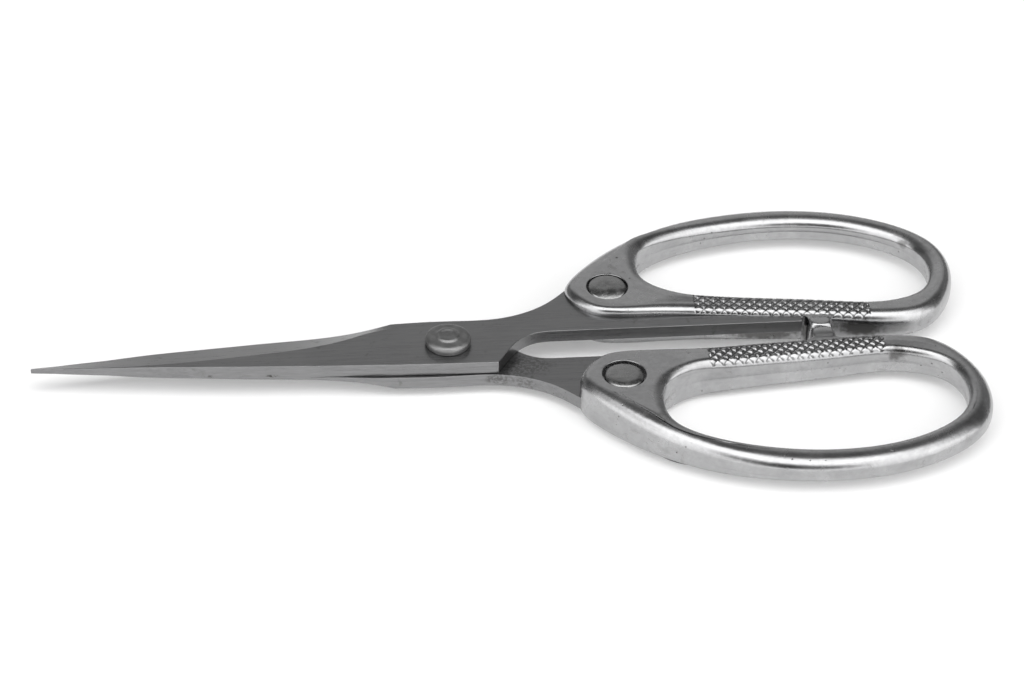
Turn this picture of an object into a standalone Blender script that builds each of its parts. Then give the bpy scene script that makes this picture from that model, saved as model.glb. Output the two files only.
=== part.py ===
"""Straight-bladed scissors with two cast-metal finger rings riveted to the blade tangs.

The two halves are the same parts: the lower half is the upper half turned 180 degrees about the X axis
through the pivot. Shapes are written in millimetres in the frame of one half: origin on the pivot axis at
the plane where the blades meet, +X towards the handles, +Y towards this half's own finger ring, +Z out of
the blade's outer face. The world frame is in metres, with +Z up and its origin under the middle of the
closed scissors.
"""

import math

import bmesh
import bpy
import numpy as np

MM = 0.001

# Where the pivot stands in the world.
PIVOT_X = -11.69
MID_PLANE_Z = 4.5

# Clearances.
BLADE_GAP = 0.1
FIT_GAP = 0.15
STOP_GAP = 0.15

# Blade stock.
STOCK = 2.75

# Blade from the tip to the ricasso: x, spine y, inner border of the bevel, its outer border as y and height,
# cutting edge y, thickness. A steep land joins the bevel's outer border to the cutting edge.
BLADE_SECTIONS = [
    (-83.0, -0.65, -0.5, 0.2, 0.45, 0.25, 0.8),
    (-70.0, -2.3, -2.0, 1.47, 0.55, 1.6, 1.7),
    (-60.0, -3.3, -2.6, 2.7, 0.75, 2.95, 2.2),
    (-48.0, -4.5, -2.2, 3.64, 0.95, 3.95, 2.6),
    (-35.0, -5.4, -0.9, 4.64, 1.1, 5.0, STOCK),
    (-20.0, -6.1, 2.6, 6.14, 1.3, 6.5, STOCK),
    (-15.0, -6.3, 4.6, 6.74, 1.9, 7.0, STOCK),
    (-11.0, -6.5, 5.5, 7.1, STOCK, 7.1, STOCK),
]
# Outer border of the ricasso and the tang up to where the handle hides it.
TANG_FAR_SIDE = [(-3.0, 7.4), (4.0, 7.3), (9.0, 7.4), (13.0, 8.1), (17.0, 9.6), (21.0, 12.1), (25.0, 16.0)]
# The tang's end inside the handle, round the rivet and along the slot.
TANG_HIDDEN_SIDE = [(28.0, 18.6), (32.0, 20.6), (36.5, 19.6), (40.0, 14.5), (44.0, 9.6), (50.0, 8.2)]
TANG_END_X = 72.2
SLOT_BACK_Y = 6.6
TANG_NEAR_Y = 2.6
# From the slot back past the heel to the spine.
HEEL_CURVE = [(21.0, TANG_NEAR_Y), (18.0, 2.2), (15.4, 0.9), (13.2, -1.2), (11.6, -3.6), (10.4, -5.6)]
HEEL = (9.6, -6.9)
SPINE_BREAK = (0.0, -6.8)

# Pivot rivet, profile as (radius, height over the blade's outer face).
PIVOT_SHANK_R = 2.4
PIVOT_HEAD = [
    (4.6, 0.1), (4.6, 1.0), (4.4, 1.5), (3.9, 1.9), (3.2, 2.15), (2.6, 2.28), (2.2, 2.1), (1.4, 1.85),
    (0.0, 1.74),
]
PIVOT_TAIL = [(4.0, 0.1), (4.0, 0.5), (3.4, 0.95), (2.4, 1.2), (0.0, 1.3)]

# Handle rivet: a domed head in the outer face and a flat, chamfered tail in the other, as (radius, height
# over the eye's face).
RIVET_AT = (33.75, 14.65)
RIVET_SHANK_R = 2.0
RIVET_HEAD = [(3.85, -1.1), (3.85, -0.7), (3.3, -0.42), (2.3, -0.2), (1.2, -0.09), (0.0, -0.05)]
RIVET_TAIL = [(3.85, -1.1), (3.85, -0.6), (3.45, -0.25), (0.0, -0.15)]
RECESS_R = 4.25
RECESS_DEPTH = 1.25
EYE_HALF = 4.5

# Handle ring, one row for each section: outer x and y, finger-hole x and y, half thickness,
# reach and depth of the outer rounding, radius of the rounding at the finger hole.
RING_SECTIONS = [
    (25.0, 14.6, 40.7, 23.2, 4.5, 1.8, 1.9, 1.2),
    (27.3, 10.0, 40.8, 20.6, 4.5, 1.7, 1.8, 1.2),
    (30.4, 7.35, 41.4, 18.4, 4.5, 1.6, 1.6, 1.2),
    (34.4, 6.4, 42.8, 16.3, 4.5, 1.6, 1.5, 1.3),
    (42.0, 6.2, 47.5, 13.1, 4.5, 2.1, 1.4, 1.4),
    (52.0, 5.8, 53.9, 11.9, 4.2, 2.2, 1.4, 1.5),
    (62.0, 4.9, 62.0, 11.1, 4.0, 2.2, 1.4, 1.5),
    (72.0, 4.0, 72.0, 10.2, 3.8, 2.2, 1.5, 1.5),
    (81.0, 3.05, 80.0, 9.3, 3.6, 2.2, 1.8, 1.4),
    (89.5, 2.3, 87.5, 8.7, 3.4, 2.2, 2.4, 1.3),
    (98.0, 3.8, 94.0, 9.9, 3.2, 2.4, 3.0, 1.2),
    (103.8, 10.5, 99.3, 13.3, 3.1, 2.6, 2.9, 1.2),
    (106.3, 19.0, 101.6, 19.9, 3.0, 2.6, 2.8, 1.2),
    (104.6, 29.0, 99.4, 27.6, 2.9, 2.6, 2.7, 1.2),
    (97.5, 36.4, 93.1, 32.9, 2.8, 2.6, 2.6, 1.2),
    (86.8, 41.3, 84.0, 36.5, 2.75, 2.6, 2.55, 1.2),
    (74.0, 43.3, 73.0, 37.8, 2.75, 2.6, 2.55, 1.2),
    (60.0, 42.1, 61.2, 36.7, 2.85, 2.6, 2.65, 1.2),
    (47.6, 37.8, 50.8, 34.0, 3.3, 2.6, 2.9, 1.2),
    (36.6, 30.6, 43.6, 30.1, 4.3, 2.6, 3.0, 1.2),
    (28.5, 22.0, 41.1, 26.3, 4.5, 2.3, 2.4, 1.2),
]
POINTS_PER_SPAN = 4
OUTER_ROUND_STEPS = 4
HOLE_ROUND_STEPS = 2

# Stop lug, where the handles meet when the scissors are shut.
LUG_X = (73.9, 78.4)
LUG_ROOT_Y = 7.0
LUG_HALF = 3.4
LUG_ROUND = 0.9

TURNED_SIDES = 28
CUT_THROUGH = 8.0

STEEL = ("blade_steel", (0.32, 0.32, 0.33), 0.38)
CAST = ("cast_handle_metal", (0.62, 0.62, 0.62), 0.3)
RIVET = ("rivet_steel", (0.45, 0.45, 0.46), 0.33)


def clear_scene():
    for old in list(bpy.data.objects):
        bpy.data.objects.remove(old, do_unlink=True)


def material(name, colour, roughness):
    mat = bpy.data.materials.get(name)
    if mat is None:
        mat = bpy.data.materials.new(name)
        mat.use_nodes = True
        shader = mat.node_tree.nodes["Principled BSDF"]
        shader.inputs["Base Color"].default_value = (*colour, 1.0)
        shader.inputs["Metallic"].default_value = 1.0
        shader.inputs["Roughness"].default_value = roughness
    return mat


def empty(name, location, turn_x=0.0):
    holder = bpy.data.objects.new(name, None)
    holder.location = [c * MM for c in location]
    holder.rotation_euler = (turn_x, 0.0, 0.0)
    bpy.context.collection.objects.link(holder)
    return holder


def mesh_from(name, points, faces):
    mesh = bpy.data.meshes.new(name)
    mesh.from_pydata([[c * MM for c in p] for p in points], [], faces)
    bm = bmesh.new()
    bm.from_mesh(mesh)
    bmesh.ops.recalc_face_normals(bm, faces=bm.faces)
    bm.to_mesh(mesh)
    bm.free()
    mesh.shade_smooth()
    mesh.set_sharp_from_angle(angle=math.radians(35))
    return mesh


def piece(name, mesh, parent, finish=None):
    obj = bpy.data.objects.new(name, mesh)
    bpy.context.collection.objects.link(obj)
    obj.parent = parent
    if finish:
        mesh.materials.clear()
        mesh.materials.append(material(*finish))
    return obj


def helper(name, mesh, parent):
    obj = piece(name, mesh, parent)
    obj.hide_render = True
    obj.display_type = "WIRE"
    return obj


def combine(obj, other, operation):
    modifier = obj.modifiers.new(f"{operation.lower()}_{other.name}", "BOOLEAN")
    modifier.operation = operation
    modifier.solver = "EXACT"
    modifier.object = other


def prism(name, outline, low, high):
    count = len(outline)
    points = [(x, y, z) for z in (low, high) for x, y in outline]
    sides = [(i, (i + 1) % count, count + (i + 1) % count, count + i) for i in range(count)]
    caps = [tuple(range(count))[::-1], tuple(range(count, 2 * count))]
    return mesh_from(name, points, sides + caps)


def turned(name, profile, centre=(0.0, 0.0)):
    """A solid of revolution. The profile, as (r, z), starts and ends on the axis."""
    rings = []
    points = []
    for r, z in profile:
        if r == 0.0:
            rings.append([len(points)])
            points.append((centre[0], centre[1], z))
            continue
        rings.append(list(range(len(points), len(points) + TURNED_SIDES)))
        for k in range(TURNED_SIDES):
            angle = 2 * math.pi * k / TURNED_SIDES
            points.append((centre[0] + r * math.cos(angle), centre[1] + r * math.sin(angle), z))
    faces = []
    for a, b in zip(rings, rings[1:]):
        for k in range(TURNED_SIDES):
            corners = [a[k % len(a)], a[(k + 1) % len(a)], b[(k + 1) % len(b)], b[k % len(b)]]
            faces.append(tuple(dict.fromkeys(corners)))
    return mesh_from(name, points, faces)


def closed_spline(table, per_span):
    """Samples of the smooth closed curve through the table's rows, per_span for each gap between rows."""
    rows = np.array(table, float)
    count = len(rows)
    span = np.linalg.norm(np.roll(rows[:, :2], -1, 0) - rows[:, :2], axis=1)
    system = np.zeros((count, count))
    right = np.zeros_like(rows)
    for i in range(count):
        before, after, nxt = span[i - 1], span[i], (i + 1) % count
        system[i, i - 1] += before
        system[i, i] += 2 * (before + after)
        system[i, nxt] += after
        right[i] = 6 * ((rows[nxt] - rows[i]) / after - (rows[i] - rows[i - 1]) / before)
    bend = np.linalg.solve(system, right)
    samples = []
    for i in range(count):
        nxt, h = (i + 1) % count, span[i]
        for s in np.arange(per_span) * h / per_span:
            r = h - s
            curve = (bend[i] * r**3 + bend[nxt] * s**3) / (6 * h)
            start = (rows[i] / h - bend[i] * h / 6) * r
            end = (rows[nxt] / h - bend[nxt] * h / 6) * s
            samples.append(curve + start + end)
    return np.array(samples)


def left_normals(outline):
    along = np.roll(outline, -1, 0) - np.roll(outline, 1, 0)
    along /= np.linalg.norm(along, axis=1)[:, None]
    return np.column_stack([-along[:, 1], along[:, 0]])


def ring_mesh():
    """The handle's cast ring as a loft, each section running over the top from the outer side to the hole."""
    rows = closed_spline(RING_SECTIONS, POINTS_PER_SPAN)
    outer, hole = rows[:, 0:2], rows[:, 2:4]
    half, reach, depth, hole_r = rows[:, 4:8].T
    half = np.minimum(half, EYE_HALF)
    inward, outward = left_normals(outer), -left_normals(hole)
    lines = []
    for k in range(OUTER_ROUND_STEPS + 1):
        turn = 0.5 * math.pi * k / OUTER_ROUND_STEPS
        plan = outer + inward * (reach * (1 - math.cos(turn)))[:, None]
        lines.append(np.column_stack([plan, half - depth + depth * math.sin(turn)]))
    for k in range(HOLE_ROUND_STEPS, -1, -1):
        turn = 0.5 * math.pi * k / HOLE_ROUND_STEPS
        plan = hole + outward * (hole_r * (1 - math.cos(turn)))[:, None]
        lines.append(np.column_stack([plan, half - hole_r + hole_r * math.sin(turn)]))
    under = [line * (1, 1, -1) for line in reversed(lines)]
    lines += under
    count, around = len(rows), len(lines)
    points = [tuple(lines[m][i]) for i in range(count) for m in range(around)]
    faces = []
    for i in range(count):
        for m in range(around):
            j, n = (i + 1) % count, (m + 1) % around
            faces.append((i * around + m, i * around + n, j * around + n, j * around + m))
    return mesh_from("handle_ring", points, faces)


def lug_mesh():
    mesh = prism("stop_lug", [(LUG_X[0], STOP_GAP), (LUG_X[1], STOP_GAP), (LUG_X[1], LUG_ROOT_Y),
                              (LUG_X[0], LUG_ROOT_Y)], -LUG_HALF, LUG_HALF)
    bm = bmesh.new()
    bm.from_mesh(mesh)
    front = [e for e in bm.edges if any(abs(v.co.y - STOP_GAP * MM) < 1e-7 for v in e.verts)]
    bmesh.ops.bevel(bm, geom=front, offset=LUG_ROUND * MM, segments=2, profile=0.5, affect="EDGES")
    bm.to_mesh(mesh)
    bm.free()
    return mesh


def tang_outline():
    """The visible and hidden borders of the ricasso and tang, clockwise from above."""
    hidden = TANG_HIDDEN_SIDE + [(TANG_END_X, SLOT_BACK_Y), (TANG_END_X, TANG_NEAR_Y)]
    return TANG_FAR_SIDE + hidden + HEEL_CURVE + [HEEL, SPINE_BREAK]


def blade_mesh():
    """The blade, ricasso and tang in one mesh: a flat inner face, a bevelled edge and a thinning tip."""
    points, faces = [], []

    def add(x, y, z):
        points.append((x, y, z))
        return len(points) - 1

    rows = []
    for x, spine, bevel, corner, height, edge, thick in BLADE_SECTIONS:
        top = [add(x, spine, thick), add(x, bevel, thick), add(x, corner, height)]
        rows.append(top + [add(x, edge, BLADE_GAP), add(x, spine, BLADE_GAP)])
    for a, b in zip(rows, rows[1:]):
        faces += [(a[m], a[m + 1], b[m + 1], b[m]) for m in range(3)]
        faces.append((a[4], a[0], b[0], b[4]))
    faces.append(tuple(rows[0]))
    outline = tang_outline()
    top = [add(x, y, STOCK) for x, y in outline]
    low = [add(x, y, BLADE_GAP) for x, y in outline]
    last = rows[-1]
    faces.append((last[0], last[1], last[2], *top))
    faces.append((*[r[4] for r in rows], *low[::-1], *[r[3] for r in rows[::-1]]))
    faces.append((last[2], last[3], low[0], top[0]))
    faces += [(top[i], low[i], low[i + 1], top[i + 1]) for i in range(len(outline) - 1)]
    faces.append((top[-1], low[-1], last[4], last[0]))
    return mesh_from("blade", points, faces)


def grown(outline, by):
    """The outline, counter-clockwise, moved outwards by a clearance with its corners kept square."""
    loop = np.array(outline, float)
    edge = np.roll(loop, -1, 0) - loop
    edge /= np.linalg.norm(edge, axis=1)[:, None]
    side = np.column_stack([edge[:, 1], -edge[:, 0]])
    before = np.roll(side, 1, 0)
    miter = (side + before) / (1 + (side * before).sum(1))[:, None]
    return [tuple(p) for p in loop + miter * by]


def slot_mesh():
    """What the handle gives up to the tang: its shape with a clearance, open towards the other half."""
    buried = TANG_FAR_SIDE[-2:] + TANG_HIDDEN_SIDE
    outline = buried + [(TANG_END_X, SLOT_BACK_Y), (TANG_END_X, TANG_NEAR_Y), HEEL_CURVE[0]]
    return prism("tang_slot", grown(outline[::-1], FIT_GAP), BLADE_GAP - FIT_GAP, STOCK + FIT_GAP)


def rivet_mesh():
    head = [(r, EYE_HALF + z) for r, z in RIVET_HEAD]
    tail = [(r, -EYE_HALF - z) for r, z in RIVET_TAIL]
    neck = [(RIVET_SHANK_R, head[0][1]), (RIVET_SHANK_R, tail[0][1])]
    return turned("handle_rivet", head[::-1] + neck + tail, RIVET_AT)


def pivot_mesh():
    head = [(r, STOCK + z) for r, z in PIVOT_HEAD]
    tail = [(r, -STOCK - z) for r, z in PIVOT_TAIL]
    neck = [(PIVOT_SHANK_R, head[0][1]), (PIVOT_SHANK_R, tail[0][1])]
    return turned("pivot_rivet", head[::-1] + neck + tail)


def drill(name, radius, centre=(0.0, 0.0)):
    top = [(0.0, CUT_THROUGH), (radius, CUT_THROUGH)]
    return turned(name, top + [(r, -z) for r, z in reversed(top)], centre)


def rivet_seat():
    """The hole through the handle, with a round recess on each face for the rivet's head and tail."""
    floor, bore = EYE_HALF - RECESS_DEPTH, RIVET_SHANK_R + FIT_GAP
    upper = [(0.0, CUT_THROUGH), (RECESS_R, CUT_THROUGH), (RECESS_R, floor), (bore, floor)]
    return turned("rivet_seat", upper + [(r, -z) for r, z in reversed(upper)], RIVET_AT)


def build_half(prefix, holder, names):
    """One blade with its cast handle and rivet, in the frame of its holder."""
    blade_name, handle_name, rivet_name = names
    blade = piece(blade_name, blade_mesh(), holder, STEEL)
    handle = piece(handle_name, ring_mesh(), holder, CAST)
    piece(rivet_name, rivet_mesh(), holder, RIVET)
    cutters = {
        "pivot_hole": drill("pivot_hole", PIVOT_SHANK_R + FIT_GAP),
        "rivet_hole": drill("rivet_hole", RIVET_SHANK_R + FIT_GAP, RIVET_AT),
        "rivet_seat": rivet_seat(),
        "slot": slot_mesh(),
        "lug": lug_mesh(),
    }
    tools = {name: helper(prefix + "_" + name, mesh, holder) for name, mesh in cutters.items()}
    combine(blade, tools["pivot_hole"], "DIFFERENCE")
    combine(blade, tools["rivet_hole"], "DIFFERENCE")
    combine(handle, tools["lug"], "UNION")
    for name in ("slot", "rivet_seat"):
        combine(handle, tools[name], "DIFFERENCE")


def build():
    clear_scene()
    pivot = (PIVOT_X, 0.0, MID_PLANE_Z)
    upper = empty("upper_half", pivot)
    lower = empty("lower_half", pivot, math.pi)
    build_half("upper", upper, ("upper_blade", "rear_handle", "rear_handle_rivet"))
    build_half("lower", lower, ("lower_blade", "front_handle", "front_handle_rivet"))
    piece("pivot_rivet", pivot_mesh(), empty("pivot_axis", pivot), RIVET)


build()
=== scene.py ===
"""The looks of the scissors: fine meshes, metals, floor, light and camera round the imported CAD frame.

Shapes are written in millimetres in the frame of one half, as the CAD source has them: origin on the pivot
axis at the plane where the blades meet, +X towards the handles, +Y towards this half's own finger ring and
+Z out of the blade's outer face. The lower half is the same frame turned 180 degrees about X.
"""

import math

import bmesh
import bpy
import numpy as np
from mathutils import Matrix, Vector


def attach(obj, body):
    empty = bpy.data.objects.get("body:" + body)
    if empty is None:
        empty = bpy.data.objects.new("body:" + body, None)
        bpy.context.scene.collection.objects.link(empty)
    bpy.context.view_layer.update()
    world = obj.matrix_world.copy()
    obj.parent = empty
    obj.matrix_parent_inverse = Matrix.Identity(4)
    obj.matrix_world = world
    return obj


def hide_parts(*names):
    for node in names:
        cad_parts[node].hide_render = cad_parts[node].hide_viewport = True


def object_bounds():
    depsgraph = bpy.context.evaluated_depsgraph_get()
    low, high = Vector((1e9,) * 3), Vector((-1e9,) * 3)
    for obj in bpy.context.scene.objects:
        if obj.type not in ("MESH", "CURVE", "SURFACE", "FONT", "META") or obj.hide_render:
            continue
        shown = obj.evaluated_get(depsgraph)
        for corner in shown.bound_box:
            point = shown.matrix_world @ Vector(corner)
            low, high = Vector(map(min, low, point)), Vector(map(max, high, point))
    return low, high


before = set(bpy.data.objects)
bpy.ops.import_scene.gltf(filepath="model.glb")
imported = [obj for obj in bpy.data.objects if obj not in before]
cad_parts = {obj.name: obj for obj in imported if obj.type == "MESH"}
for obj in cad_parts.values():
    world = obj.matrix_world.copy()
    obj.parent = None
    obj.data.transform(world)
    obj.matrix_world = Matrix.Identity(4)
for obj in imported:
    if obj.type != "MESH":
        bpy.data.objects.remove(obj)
CAD_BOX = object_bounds()

MM = 0.001
PIVOT = Vector((-11.69, 0.0, 4.5)) * MM
HALVES = {
    "upper_half": Matrix.Translation(PIVOT),
    "lower_half": Matrix.Translation(PIVOT) @ Matrix.Rotation(math.pi, 4, "X"),
}

# Gaps from a blade to the plane between the blades, round a rivet, round a tang, and from a stop lug to the
# plane where the lugs meet; and the blade stock.
BLADE_GAP = 0.06
FIT_GAP = 0.15
CAST_IN_GAP = 0.04
STOP_GAP = 0.15
STOCK = 2.75

# Blade from the tip to the ricasso: x, spine y, inner border of the bevel, its outer border as y and height,
# cutting edge y, thickness. A steep land joins the bevel's outer border to the cutting edge.
BLADE_SECTIONS = [
    (-83.0, -0.65, -0.5, 0.2, 0.45, 0.25, 0.8),
    (-70.0, -2.3, -2.0, 1.47, 0.55, 1.6, 1.7),
    (-60.0, -3.3, -2.6, 2.7, 0.75, 2.95, 2.2),
    (-48.0, -4.5, -2.2, 3.64, 0.95, 3.95, 2.6),
    (-35.0, -5.4, -0.9, 4.64, 1.1, 5.0, STOCK),
    (-20.0, -6.1, 2.6, 6.14, 1.3, 6.5, STOCK),
    (-15.0, -6.3, 4.6, 6.74, 1.9, 7.0, STOCK),
    (-11.0, -6.5, 5.5, 7.1, STOCK, 7.1, STOCK),
]
TANG_FAR_SIDE = [
    (-11.0, 7.1), (-3.0, 7.4), (4.0, 7.3), (9.0, 7.4), (13.0, 8.1), (17.0, 9.6), (21.0, 12.1), (25.0, 16.0),
]
TANG_HIDDEN_SIDE = [(28.0, 18.6), (32.0, 20.6), (36.5, 19.6), (40.0, 14.5), (44.0, 9.6), (50.0, 8.2)]
TANG_END_X = 72.2
SLOT_BACK_Y = 6.6
TANG_NEAR_Y = 2.6
HEEL_CURVE = [(21.0, TANG_NEAR_Y), (18.0, 2.2), (15.4, 0.9), (13.2, -1.2), (11.6, -3.6), (10.4, -5.6)]
HEEL = (9.6, -6.9)
SPINE_BREAK = (0.0, -6.8)
BLADE_STEP = 0.8
CURVE_STEPS = {"tang": 1.0, "heel": 0.7}
# The blades all but touch towards the tip. Their gap opens over this stretch.
CLOSED_GAP = 0.02
GAP_OPENS_X = (-19.0, -11.0)
EDGE_BREAK = 0.09
BEVEL_ANGLE, BEVEL_SEGMENTS = 28, 2
BLADE_SHARP_ANGLE, CASTING_SHARP_ANGLE, RIVET_SHARP_ANGLE = 4, 40, 50

# Rivets as (radius, height): the pivot's over the blade's outer face, a handle's over the eye's face.
PIVOT_SHANK_R = 2.4
PIVOT_HEAD = [
    (4.45, 0.1), (4.58, 0.5), (4.62, 0.95), (4.5, 1.4), (4.1, 1.72), (3.5, 1.86), (2.75, 1.9), (2.45, 1.98),
    (2.15, 2.2), (1.85, 2.27), (1.5, 2.18), (0.9, 2.06), (0.0, 2.02),
]
PIVOT_TAIL = [(4.0, 0.1), (4.0, 0.5), (3.4, 0.95), (2.4, 1.2), (1.2, 1.27), (0.0, 1.3)]
RIVET_AT = (33.75, 14.65)
RIVET_SHANK_R = 2.0
RIVET_HEAD = [
    (3.92, -1.24), (3.92, -0.35), (3.8, -0.18), (3.4, -0.06), (2.6, 0.02), (1.2, 0.07), (0.0, 0.08),
]
RIVET_TAIL = [
    (3.92, -1.24), (3.92, -0.6), (3.8, -0.42), (3.4, -0.22), (2.9, -0.1), (2.2, -0.05), (1.1, -0.04),
    (0.0, -0.04),
]
# The upper handle's head is peened askew: it leans, and droops more and more towards its near side. The
# lower handle's head is sunk.
RIVET_HEAD_LEAN = {"upper_half": math.tan(math.radians(3)), "lower_half": 0.0}
RIVET_HEAD_DROOP = {"upper_half": 0.055, "lower_half": 0.0}
RIVET_DROOP_FROM = 0.6
RIVET_HEAD_SUNK = {"upper_half": 0.0, "lower_half": 0.22}
RIVET_HEAD_HEIGHT = 1.0
PROFILE_STEP = 0.12
RECESS_R = {"upper_half": 4.27, "lower_half": 4.4}
RECESS_DEPTH = 1.25
RECESS_LIP = 0.1
RECESS_LIP_STEPS = 4
EYE_HALF = 4.5
TURNED_SIDES = 96
DRILL_REACH = 8.0

# Handle ring, one row for each section: outer x and y, finger-hole x and y, half thickness, reach and depth
# of the outer rounding, reach and depth of the rounding at the finger hole, and how slowly the outer
# rounding starts (0 to 1).
RING_SECTIONS = [
    (25.0, 14.6, 40.7, 23.2, 4.5, 2.3, 2.2, 2.8, 1.3, 1.0),
    (27.3, 10.0, 40.8, 20.6, 4.5, 2.0, 1.9, 2.6, 1.3, 1.0),
    (30.4, 7.35, 41.4, 18.4, 4.5, 1.8, 1.6, 2.4, 1.3, 1.0),
    (34.4, 6.4, 42.8, 16.3, 4.5, 1.8, 1.4, 2.2, 1.3, 1.0),
    (42.0, 6.2, 47.5, 13.1, 4.5, 2.4, 1.35, 1.9, 1.6, 1.0),
    (52.0, 5.8, 53.9, 11.9, 4.2, 2.7, 1.4, 2.3, 1.8, 1.0),
    (62.0, 4.9, 62.0, 11.1, 4.0, 2.7, 1.45, 2.6, 1.9, 1.0),
    (72.0, 4.0, 72.0, 10.2, 3.8, 2.7, 1.6, 2.6, 1.9, 1.0),
    (81.0, 3.05, 80.0, 9.3, 3.6, 2.8, 1.95, 2.3, 1.8, 0.8),
    (89.5, 2.3, 87.5, 8.7, 3.4, 3.3, 2.5, 1.95, 1.7, 0.6),
    (98.0, 3.8, 94.0, 9.9, 3.2, 3.5, 2.8, 2.0, 1.6, 0.4),
    (103.8, 10.5, 99.3, 13.3, 3.1, 3.0, 2.7, 2.0, 1.6, 0.4),
    (106.3, 19.0, 101.6, 19.9, 3.0, 2.7, 2.6, 1.9, 1.6, 0.4),
    (104.6, 29.0, 99.4, 27.6, 2.9, 3.1, 2.55, 2.05, 1.7, 0.4),
    (97.5, 36.4, 93.1, 32.9, 2.8, 3.3, 2.45, 2.15, 1.8, 0.4),
    (86.8, 41.3, 84.0, 36.5, 2.75, 3.3, 2.4, 2.15, 1.8, 0.4),
    (74.0, 43.3, 73.0, 37.8, 2.75, 3.3, 2.4, 2.15, 1.8, 0.4),
    (60.0, 42.1, 61.2, 36.7, 2.85, 3.3, 2.5, 2.1, 1.8, 0.4),
    (47.6, 37.8, 50.8, 34.0, 3.3, 2.8, 2.8, 2.0, 1.7, 0.5),
    (36.6, 30.6, 43.6, 30.1, 4.05, 3.6, 2.95, 2.6, 1.7, 0.7),
    (28.5, 22.0, 41.1, 26.3, 4.5, 3.0, 2.65, 3.0, 1.5, 0.8),
]
KNURLED_SPANS = range(4, 9)
KNURLED_STEP = 0.13
PLAIN_STEP = 0.8
OUTER_ROUND_STEPS = 18
FLAT_STEPS = 26
HOLE_ROUND_STEPS = 12
ROUNDING_FINENESS = 40
ROUND_STARTS = (1.1, 1.9)
HOLE_ROUND_START = 1.2
# How far the far loop's crest is moved towards the ring's outer side, on the outer (1) and inner (-1) face.
CREST_SHIFT = {1: 0.7, -1: -0.45}
# The casting's parting line stands proud in the finger hole.
PARTING_HALF_WIDTH = 0.2
PARTING_PROUD = 0.05

# Knurl: V grooves at 45 degrees both ways to the bar, from its start to its end on the outer and inner face,
# and a fine score in each groove that runs on down the bar's side.
KNURL_X = {1: (50.6, 86.8), -1: (51.2, 87.7)}
KNURL_PITCH = 2.1
KNURL_DEPTH = 0.38
KNURL_SLOPE = 0.72
KNURL_CREST = 0.05
KNURL_ORIGIN = (52.6, 6.5)
KNURL_TURN = math.radians(-4.0)
KNURL_END_FADE = 0.35
KNURL_BACK_Y = 20.0
SCORE_DEPTH = 0.1
SCORE_HALF_WIDTH = 0.17
SCORE_DROP = 1.15
SCORE_FADE = 0.3

# Stop lug: its corners are rounded by one radius, its long front edges less in the middle than at the ends.
LUG_X = (73.4, 78.2)
LUG_ROOT_Y = 7.0
LUG_HALF = 3.4
LUG_CORNER = 0.8
LUG_EDGE = (0.5, 2.0)
LUG_TOP_DROP = 1.2
LUG_DROP_FROM_Y = 2.4
LUG_STEPS = (33, 12, 9)
LUG_FLARE = 0.9
LUG_FLARE_Y = 2.9
LUG_FLARE_HALF = 3.1
LUG_FLARE_INSET = 0.05

# Dark patches on the castings, each as its centre in the half frame, its radii and how dark it is: a small
# speck, a dark patch on the lower handle's eye, and painted shade and painted reflections where the handles
# face each other, round the stop lug and at the rings' far ends.
CAST_SPECKS_AND_PAINTED_SHADE = {
    "upper_half": [
        # A small dark speck on the eye.
        ((36.9, 24.6, 4.5), (0.35, 0.35, 0.6), 0.8),
        # Painted reflection: a dark patch at the far end of the ring.
        ((97.6, 28.5, 1.9), (1.4, 2.4, 1.5), 0.7),
        # Painted shade in the hollow between the tang's end and the stop lug.
        ((73.2, 2.6, 0.0), (1.0, 2.6, 4.2), 0.8),
        # Painted reflection and shade on the wall right of the lug, which faces the other handle.
        ((84.0, 2.4, 0.4), (6.5, 2.2, 2.4), 0.85),
        # Painted shade on the lip below the tang, which faces the other handle.
        ((64.5, 4.6, -1.2), (9.0, 2.5, 2.6), 0.8),
    ],
    "lower_half": [
        # Painted reflection: a dark patch in the ring's inner corner at its far end.
        ((89.6, 9.2, -2.4), (2.2, 2.4, 2.4), 0.7),
        # A dark patch on the eye, round the end of the finger hole.
        ((41.9, 23.5, -3.9), (2.0, 4.0, 1.2), 0.55),
    ],
}

# The same on the blades: dark specks on the upper one's spine, and wear round the pivot on the lower one.
BLADE_MARKS = {
    "upper_half": [
        ((-47.5, -4.5, 0.25), (0.8, 0.6, 0.4), 0.9),
        ((-35.4, -5.4, 0.4), (1.6, 0.6, 0.5), 0.9),
    ],
    "lower_half": [
        ((10.0, 7.4, 1.2), (4.0, 0.9, 1.6), 0.6),
        ((15.5, 8.6, 1.4), (4.0, 1.4, 1.6), 0.5),
        ((14.0, 4.5, 0.1), (7.5, 5.0, 1.0), 0.5),
    ],
}

# Camera: focal length over the frame's width, distance in millimetres, angles, and the point of the half
# frame that it looks at.
FOCAL_RATIO = 3300.0 / 1024.0
SENSOR_MM = 36.0
CAMERA_DISTANCE = 665.97
CAMERA_ELEVATION = math.radians(36.954)
CAMERA_AZIMUTH = math.radians(-6.185)
CAMERA_ROLL = math.radians(1.3855)
CAMERA_TARGET = (13.242, 3.307, 0.0)


# ---------------------------------------------------------------- curves


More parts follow.
